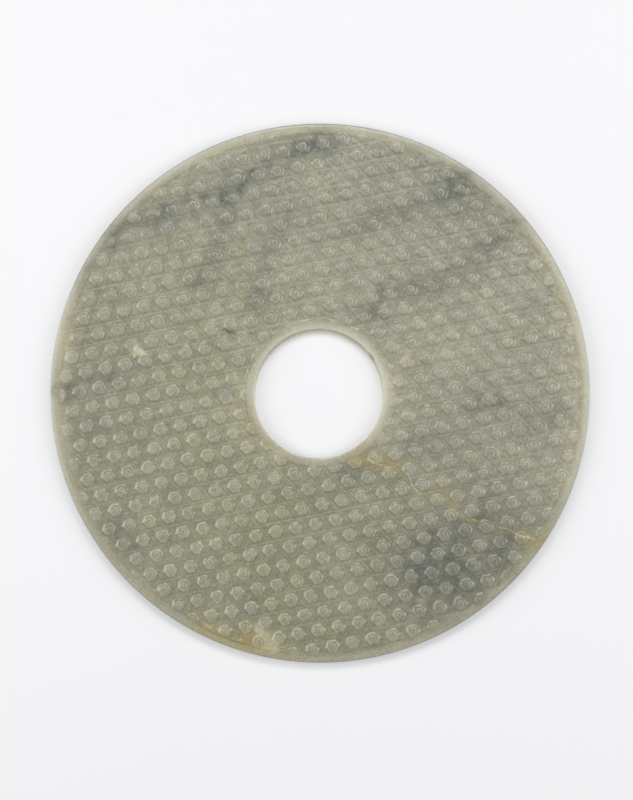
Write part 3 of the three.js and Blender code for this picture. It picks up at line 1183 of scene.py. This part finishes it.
@dataclass(frozen=True)
class JadeFinish:
    """The softly polished nephrite. Colours are linear, features are in millimetres."""

    # Towards the upper right the tops darken as painted shade and the ground lightens as painted sheen.
    top: tuple = (0.278, 0.276, 0.227, 1.0)
    far_top_shade: tuple = (0.248, 0.254, 0.223, 1.0)
    ground: tuple = (0.259, 0.253, 0.178, 1.0)
    far_ground_sheen: tuple = (0.336, 0.327, 0.243, 1.0)
    depths: tuple = (0.98, 1.0, 0.84, 1.0)
    pale: tuple = (0.41, 0.40, 0.30, 1.0)
    # Painted glow of light through the thin edges of the rim and the hole.
    free_edge_glow: tuple = (0.56, 0.55, 0.46, 1.0)
    # Painted light on the bore's wall, where light comes through the stone.
    bore_wall_glow: tuple = (0.62, 0.61, 0.51, 1.0)
    # The stone's warmer zones, and the painted glow through the thin edges.
    honey: tuple = (0.50, 0.455, 0.32, 1.0)
    # The colour of the painted shade on the rim's rounded edge.
    rim_edge_shade: tuple = (0.23, 0.235, 0.23, 1.0)
    olive: tuple = (0.135, 0.13, 0.075, 1.0)
    cloud: tuple = (0.090, 0.097, 0.086, 1.0)
    # The colour of the painted shade at the bosses' feet and in the curls' cuts.
    foot: tuple = (0.155, 0.158, 0.125, 1.0)
    ochre: tuple = (0.335, 0.268, 0.105, 1.0)
    scribed: tuple = (0.17, 0.15, 0.105, 1.0)
    old_break: tuple = (0.50, 0.455, 0.30, 1.0)
    # The pale mineral, specks and patches, and the painted highlights on the bosses' edges and curl crests.
    cream: tuple = (0.62, 0.58, 0.42, 1.0)

    floor_roughness: float = 0.27
    top_roughness: float = 0.5
    refraction: float = 1.61
    translucency: float = 0.8
    glow_radius: tuple = (1.0, 1.0, 0.8)
    depth_of_glow: float = 1.6
    pit_strength: float = 0.25
    pit_depth: float = 0.15
    pit_scale: float = 1100.0

    far: Ramp = Ramp(0.35, 0.72)
    raised: Ramp = Ramp(0.24, 0.08)
    # Painted shade in the curls' cuts, growing towards the upper right.
    cut_shade_share: Ramp = Ramp(0.0, 1.0, 0.10, 0.42)
    # Painted highlight on the curls' crests, growing towards the upper right.
    crest_highlight_share: Ramp = Ramp(0.3, 0.75, 0.24, 0.40)
    # The guide lines' rise towards the upper right is painted sheen.
    line_share: Ramp = Ramp(0.1, 0.42, 0.38, 0.8)
    break_share: Ramp = Ramp(0.1, 0.25)
    # Share of the honey tint, partly painted glow.
    glow_share: float = 0.5
    # Share of the painted shade at the bosses' feet.
    foot_shade_share: float = 0.7
    # Share of the painted highlight on the bosses' top edges.
    edge_highlight_share: float = 0.28
    slow_share: float = 0.22
    dark_share: float = 0.7
    white_share: float = 0.6
    cloud_share: float = 0.75
    stain_share: float = 0.75
    patch_share: float = 0.8
    halo_share: float = 0.34

    polish: Grain = Grain(900.0, Ramp(0.3, 0.7, -0.04, 0.06), 4.0, 0.6)
    tone: Grain = Grain(105.0, Ramp(0.36, 0.64, 0.35, 1.2), 1.0, shift=4.1)
    slow: Grain = Grain(28.0, Ramp(0.35, 0.68), 5.0, 0.6)
    coarse: Grain = Grain(120.0, Ramp(0.3, 0.7, 0.92, 1.07), 4.0, 0.6)
    fine: Grain = Grain(430.0, Ramp(0.3, 0.7, 0.88, 1.11), 6.0, 0.7, shift=0.5)
    along_rows: Grain = Grain(1.0, Ramp(0.32, 0.68, 0.92, 1.08), 4.0, 0.6)
    along_stretch: tuple = (60.0, 620.0, 200.0)
    dark_specks: Grain = Grain(700.0, Ramp(0.30, 0.24), 2.0, 0.6, shift=1.1)
    white_specks: Grain = Grain(900.0, Ramp(0.70, 0.76), 2.0, 0.6, shift=1.7)
    wisps: Grain = Grain(260.0, Ramp(0.32, 0.68, 0.6, 1.3), 5.0, 0.65, shift=2.3)
    patch_edge: Ramp = Ramp(0.1, 1.1)

    bands: BandLight = BandLight()
    ring_waver: Grain = Grain(30.0, Ramp(0.3, 0.7, -0.14, 0.14))
    ring_patches: Grain = Grain(22.0, Ramp(0.38, 0.58, 0.25, 1.0), shift=3.7)
    stain_line_inset: float = 3.0
    stain_line_width: float = 0.55
    stain_line_waver: Grain = Grain(60.0, Ramp(0.3, 0.7, -0.45, 0.45), 3.0)
    stain_line_wear: Grain = Grain(150.0, Ramp(0.40, 0.56, 0.25, 1.0), 3.0, shift=6.3)
    stain_line_share: Ramp = Ramp(0.15, 0.6, 0.0, 0.6)

    vein_breaks: Grain = Grain(130.0, Ramp(0.38, 0.52), 3.0, 0.6, shift=2.9)
    vein_start: Ramp = Ramp(15.0, 23.0)
    vein_gap_start: Ramp = Ramp(43.0, 40.0)
    vein_gap_end: Ramp = Ramp(60.0, 65.0)
    vein_end: Ramp = Ramp(90.0, 86.5)
    vein_edge: Ramp = Ramp(0.25, 0.06)
    vein_share: Ramp = Ramp(0.0, 1.0, 0.05, 0.66)
    halo_edge: Ramp = Ramp(1.5, 0.1)
    halo_gap: Ramp = Ramp(0.0, 1.0, 1.0, 0.3)

    def material(self, section: Section, lattice: Lattice) -> bpy.types.Material:
        """Builds the material.

        Args:
            section: The ring's section, for the places of the bands and edges.
            lattice: The rows of bosses, for the guide lines.

        Returns:
            The jade material.
        """
        material = bpy.data.materials.new("jade")
        material.use_nodes = True
        graph = NodeGraph(material.node_tree)
        shader = material.node_tree.nodes["Principled BSDF"]
        spot = Spot(graph, section, self.far, self.raised)
        graph.feed(shader.inputs["Base Color"], self.colour(graph, spot, lattice))
        matt = graph.times(spot.raised, graph.math("SUBTRACT", 1.0, graph.mark("curl_crest")))
        rough = graph.ramp(matt, 0.0, 1.0, self.floor_roughness, self.top_roughness)
        uneven = graph.grain(spot.place, self.polish)
        graph.feed(shader.inputs["Roughness"], graph.math("ADD", rough, uneven))
        bump = graph.add("ShaderNodeBump")
        bump.inputs["Strength"].default_value = self.pit_strength
        bump.inputs["Distance"].default_value = self.pit_depth * MM
        graph.feed(bump.inputs["Height"], graph.noise(spot.place, self.pit_scale, 5.0, 0.65))
        graph.feed(shader.inputs["Normal"], bump.outputs["Normal"])
        shader.inputs["IOR"].default_value = self.refraction
        shader.inputs["Subsurface Weight"].default_value = self.translucency
        shader.inputs["Subsurface Radius"].default_value = self.glow_radius
        shader.inputs["Subsurface Scale"].default_value = self.depth_of_glow * MM
        return material

    def colour(self, graph: NodeGraph, spot: Spot, lattice: Lattice) -> bpy.types.NodeSocket:
        """Adds the nodes of the stone's colour, with its painted light and shade, and returns it.

        Args:
            graph: The material's graph.
            spot: The point on the disc.
            lattice: The rows of bosses.

        Returns:
            The colour.
        """
        # Painted sheen on the ground and painted shade on the tops, both growing towards the upper right.
        ground = graph.mix(spot.far, self.ground, self.far_ground_sheen)
        tops = graph.times(spot.raised, graph.grain(spot.place, self.tone))
        colour = graph.mix(tops, ground, graph.mix(spot.far, self.top, self.far_top_shade))
        # Painted shade in the curls' cuts.
        cut = graph.times(graph.mark("curl_cut"), graph.eased(spot.far, self.cut_shade_share))
        colour = graph.mix(cut, colour, self.foot)
        colour = graph.mix(graph.mark("green_depth"), colour, self.depths, "MULTIPLY")
        # Partly the stone's warmer zones, partly painted glow through the thin stone.
        colour = graph.mix(graph.times(graph.mark("warm_glow"), self.glow_share), colour, self.honey)
        # Painted shade at the bosses' feet.
        colour = graph.mix(graph.times(graph.mark("boss_foot_shade"), self.foot_shade_share), colour, self.foot)
        colour = graph.mix(self.guide_lines(graph, spot, lattice), colour, self.pale)
        colour = self.grained(graph, spot, lattice, colour)
        colour = self.banded(graph, spot, colour)
        colour = self.clouded(graph, spot, colour)
        colour = self.stained_line(graph, spot, colour)
        return self.mended(graph, spot, colour)

    def guide_lines(self, graph: NodeGraph, spot: Spot, lattice: Lattice) -> bpy.types.NodeSocket:
        """Adds the strength of the guide lines on the front field's floor."""
        lines = graph.add("ShaderNodeGroup", node_tree=RowLines(lattice).group())
        graph.feed(lines.inputs["Place"], spot.place)
        sunk = graph.times(spot.front, graph.math("SUBTRACT", 1.0, spot.raised))
        # The lines grow towards the upper right: painted sheen on the flat floor of the cuts.
        clear = graph.eased(graph.mark("far_side"), self.line_share)
        return graph.times(lines.outputs["Line"], sunk, clear)

    def banded(self, graph: NodeGraph, spot: Spot, colour: object) -> bpy.types.NodeSocket:
        """Adds painted glow of light through the thin free edges, the rim's painted shade and the rings."""
        light = self.bands
        # Painted glow through the thin edges, strongest at the rim's left and right, and on the band's
        # slope.
        warm_rim = graph.eased(spot.inset, light.rim_honey)
        warm = graph.math("MAXIMUM", warm_rim, graph.eased(spot.off_bore, light.hole_honey))
        most = graph.eased(spot.across, light.side_honey_share)
        sideways = graph.ramp(graph.math("ABSOLUTE", spot.across), light.side_honey_from, 1.0, 0.0, most)
        upper = graph.eased(spot.up, light.upper_honey_share)
        slope = graph.times(graph.eased(spot.inset, light.slope), graph.math("MAXIMUM", sideways, upper))
        colour = graph.mix(graph.math("MAXIMUM", warm, slope), colour, self.honey)
        colour = graph.scaled(colour, self.ring_streaks(graph, spot))
        # Painted glow through the thin rim, weaker at its bottom, and round the hole, stronger right and
        # above.
        rim = graph.times(
            graph.eased(spot.inset, light.rim_pale),
            graph.eased(spot.up, light.towards_top_share),
            graph.eased(spot.up, light.top_edge_share),
        )
        hole = graph.times(
            graph.eased(spot.off_bore, light.hole_pale),
            graph.eased(spot.x, light.hole_right),
            graph.eased(spot.y, light.hole_upper),
        )
        colour = graph.mix(graph.math("MAXIMUM", rim, hole), colour, self.free_edge_glow)
        colour = self.scribed_rings(graph, spot, colour)
        # Painted light on the bore's wall.
        colour = graph.mix(graph.eased(spot.off_bore, light.wall), colour, self.bore_wall_glow)
        # Painted shade on the rim's rounded edge.
        return graph.mix(graph.eased(spot.inset, light.rim_edge_shade), colour, self.rim_edge_shade)

    def ring_streaks(self, graph: NodeGraph, spot: Spot) -> bpy.types.NodeSocket:
        """Adds the fine rings that the turning left on the bands, as a brightness about 1."""
        light = self.bands
        outward = graph.vector("NORMALIZE", spot.place).outputs["Vector"]
        lift = graph.add("ShaderNodeCombineXYZ")
        graph.feed(lift.inputs[2], graph.times(spot.radius, light.streaks_per_millimetre))
        bent = graph.vector("ADD", graph.scaled(outward, light.streaks_round), lift.outputs[0])
        streaks = graph.eased(graph.noise(bent.outputs["Vector"], 1.0, 2.0), light.streaks)
        bands = graph.math(
            "MAXIMUM",
            graph.eased(spot.inset, light.streaked_rim),
            graph.eased(spot.off_bore, light.streaked_hole),
        )
        return graph.math("MULTIPLY_ADD", streaks, bands, 1.0)

    def scribed_rings(self, graph: NodeGraph, spot: Spot, colour: object) -> bpy.types.NodeSocket:
        """Adds the fine dark and pale rings scribed along the inner edges of the two bands."""
        waver = graph.grain(spot.place, self.ring_waver)
        patches = graph.grain(spot.place, self.ring_patches)
        from_rim = graph.math("SUBTRACT", spot.inset, waver)
        from_hole = graph.math("ADD", spot.off_bore, waver)
        light = self.bands
        above_hole = graph.times(graph.eased(spot.y, light.above_hole), light.hole_groove.share)
        rings = [(from_rim, ring, ring.share) for ring in light.rim_rings]
        rings += [(from_hole, ring, ring.share) for ring in light.hole_rings]
        rings += [(from_hole, light.hole_groove, above_hole)]
        for distance, ring, share in rings:
            line = graph.ramp(graph.apart(distance, ring.at), ring.width, 0.0, 0.0, share)
            tint = self.cream if ring.pale else self.scribed
            colour = graph.mix(graph.times(line, patches), colour, tint)
        return colour

    def grained(
        self, graph: NodeGraph, spot: Spot, lattice: Lattice, colour: object
    ) -> bpy.types.NodeSocket:
        """Adds the mottled grain, its streaks along the rows and the small pale and dark specks."""
        slow = graph.grain(spot.place, self.slow)
        colour = graph.mix(graph.times(slow, self.slow_share), colour, self.pale)
        turned = graph.add("ShaderNodeVectorRotate", rotation_type="Z_AXIS")
        graph.feed(turned.inputs["Vector"], spot.place)
        graph.feed(turned.inputs["Angle"], -math.radians(lattice.row_angle))
        along = graph.vector("MULTIPLY", turned.outputs["Vector"], self.along_stretch).outputs["Vector"]
        grain = graph.times(
            graph.grain(spot.place, self.coarse),
            graph.grain(spot.place, self.fine),
            graph.grain(along, self.along_rows),
        )
        colour = graph.scaled(colour, grain)
        dark = graph.grain(spot.place, self.dark_specks)
        colour = graph.mix(graph.times(dark, self.dark_share), colour, self.olive)
        white = graph.grain(spot.place, self.white_specks)
        return graph.mix(graph.times(white, self.white_share), colour, self.cream)

    def clouded(self, graph: NodeGraph, spot: Spot, colour: object) -> bpy.types.NodeSocket:
        """Adds the grey clouds, the ochre stains and the cream patches."""
        wisps = graph.grain(spot.place, self.wisps)
        grey = graph.math("MULTIPLY", graph.mark("grey_cloud"), wisps, clamp=True)
        colour = graph.mix(graph.times(grey, self.cloud_share), colour, self.cloud)
        stain = graph.math("MULTIPLY", graph.mark("ochre_stain"), wisps, clamp=True)
        colour = graph.mix(graph.times(stain, self.stain_share), colour, self.ochre)
        patch = graph.eased(graph.times(graph.mark("cream_patch"), wisps), self.patch_edge)
        tint = graph.mix(graph.eased(graph.mark("far_side"), self.break_share), self.old_break, self.cream)
        return graph.mix(graph.times(patch, self.patch_share), colour, tint)

    def stained_line(self, graph: NodeGraph, spot: Spot, colour: object) -> bpy.types.NodeSocket:
        """Adds the dark line that runs along the rim where the stone is stained."""
        waver = graph.grain(spot.place, self.stain_line_waver)
        away = graph.apart(graph.math("SUBTRACT", spot.inset, waver), self.stain_line_inset)
        stained = graph.eased(graph.mark("ochre_stain"), self.stain_line_share)
        line = graph.ramp(away, self.stain_line_width, 0.0, 0.0, stained)
        worn = graph.grain(spot.place, self.stain_line_wear)
        return graph.mix(graph.times(line, worn), colour, self.olive)

    def mended(self, graph: NodeGraph, spot: Spot, colour: object) -> bpy.types.NodeSocket:
        """Adds the healed crack's pale mineral and ochre, and painted highlights on boss edges and curls.
        """
        away = graph.math("ABSOLUTE", graph.mark("crack_offset"))
        stretches = graph.math(
            "MAXIMUM", graph.eased(spot.x, self.vein_gap_start), graph.eased(spot.x, self.vein_gap_end)
        )
        ends = graph.times(graph.eased(spot.x, self.vein_start), graph.eased(spot.x, self.vein_end))
        filled = graph.times(graph.grain(spot.place, self.vein_breaks), stretches, ends)
        halo = graph.times(graph.eased(away, self.halo_edge), graph.eased(filled, self.halo_gap))
        colour = graph.mix(graph.times(halo, self.halo_share), colour, self.ochre)
        line = graph.times(graph.eased(away, self.vein_edge), graph.eased(filled, self.vein_share))
        colour = graph.mix(line, colour, self.cream)
        # Painted highlight along the bosses' top edges.
        colour = graph.mix(graph.times(graph.mark("boss_edge_highlight"), self.edge_highlight_share), colour, self.cream)
        # Painted highlight on the curls' crests.
        bright = graph.eased(graph.mark("far_side"), self.crest_highlight_share)
        return graph.mix(graph.times(graph.mark("curl_crest"), bright), colour, self.cream)


@dataclass(frozen=True)
class PlainFloor:
    """The pale floor, which glows a little, as a sheet lit from behind does."""

    colour: tuple = (0.60, 0.60, 0.607, 1.0)
    roughness: float = 0.9
    glow_colour: tuple = (0.99, 0.99, 1.0, 1.0)
    glow: float = 0.23
    drop: float = 0.00003
    half_width: float = 2.0

    def build(self) -> bpy.types.Object:
        """Builds the floor, just under the disc."""
        shape = bmesh.new()
        bmesh.ops.create_grid(shape, x_segments=1, y_segments=1, size=self.half_width)
        mesh = bpy.data.meshes.new("floor")
        shape.to_mesh(mesh)
        shape.free()
        floor = bpy.data.objects.new("floor", mesh)
        floor.location.z = -self.drop
        bpy.context.scene.collection.objects.link(floor)
        material = bpy.data.materials.new("floor")
        material.use_nodes = True
        shader = material.node_tree.nodes["Principled BSDF"]
        shader.inputs["Base Color"].default_value = self.colour
        shader.inputs["Roughness"].default_value = self.roughness
        shader.inputs["Specular IOR Level"].default_value = 0.0
        shader.inputs["Emission Color"].default_value = self.glow_colour
        shader.inputs["Emission Strength"].default_value = self.glow
        mesh.materials.append(material)
        return floor


@dataclass(frozen=True)
class SoftBox:
    """A large soft lamp that faces the disc's centre.

    The azimuth is counted from the picture's right towards its top, in degrees.
    """

    name: str
    azimuth: float
    elevation: float
    size: tuple
    power: float
    distance: float = 0.95

    def build(self) -> None:
        """Adds the lamp, turned towards the disc."""
        lamp = bpy.data.lights.new(self.name, "AREA")
        lamp.shape = "RECTANGLE"
        lamp.size, lamp.size_y = self.size
        lamp.energy = self.power
        turn, rise = math.radians(self.azimuth), math.radians(self.elevation)
        flat = self.distance * math.cos(rise)
        rig = bpy.data.objects.new(self.name, lamp)
        rig.location = (flat * math.cos(turn), flat * math.sin(turn), self.distance * math.sin(rise))
        rig.rotation_euler = (-rig.location).to_track_quat("-Z", "Y").to_euler()
        rig.visible_camera = False
        bpy.context.scene.collection.objects.link(rig)


@dataclass(frozen=True)
class Studio:
    """The floor, the lamps and the camera straight above the disc."""

    camera_height: float = 0.9
    frame_height: float = 0.32617
    frame_centre: tuple = (-0.0015, -0.0028)
    world_light: float = 0.28
    world_colour: tuple = (0.95, 0.97, 1.0, 1.0)
    sensor: float = 36.0
    lamps: tuple = (
        SoftBox("left_lamp", azimuth=178, elevation=36, size=(0.45, 0.75), power=5.1),
        SoftBox("right_lamp", azimuth=1, elevation=38, size=(0.45, 0.75), power=4.5),
        SoftBox("top_lamp", azimuth=88, elevation=57, size=(0.7, 0.28), power=3.2),
        SoftBox("near_lamp", azimuth=270, elevation=52, size=(0.6, 0.4), power=0.6),
    )

    def build(self, thickness: float) -> None:
        """Builds the studio.

        Args:
            thickness: The disc's thickness in metres, for the height that the picture is taken at.
        """
        scene = bpy.context.scene
        scene.view_settings.view_transform = "Standard"
        floor = PlainFloor().build()
        for lamp in self.lamps:
            lamp.build()
        world = bpy.data.worlds.new("studio")
        world.use_nodes = True
        light = world.node_tree.nodes["Background"]
        light.inputs["Color"].default_value = self.world_colour
        light.inputs["Strength"].default_value = self.world_light
        scene.world = world
        camera = bpy.data.cameras.new("camera")
        camera.sensor_width = self.sensor
        camera.lens = camera.sensor_width * self.camera_height / self.frame_height
        rig = bpy.data.objects.new("camera", camera)
        rig.location = (*self.frame_centre, thickness + self.camera_height)
        scene.collection.objects.link(rig)
        scene.camera = rig


def main() -> None:
    """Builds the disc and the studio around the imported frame."""
    logging.basicConfig(level=logging.INFO, format="%(name)s: %(message)s")
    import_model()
    low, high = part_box(NODE)
    quality = FINE
    maker = Disc(low, high, quality)
    disc = maker.build()
    disc.data.materials.append(JadeFinish().material(maker.section, maker.front.lattice))
    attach(disc, "root")
    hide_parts(NODE)
    log.info("disc: one piece in the jade finish")
    Studio().build(high.z)
    log.info("studio: floor, lamps and camera")


if __name__ == "__main__":
    main()
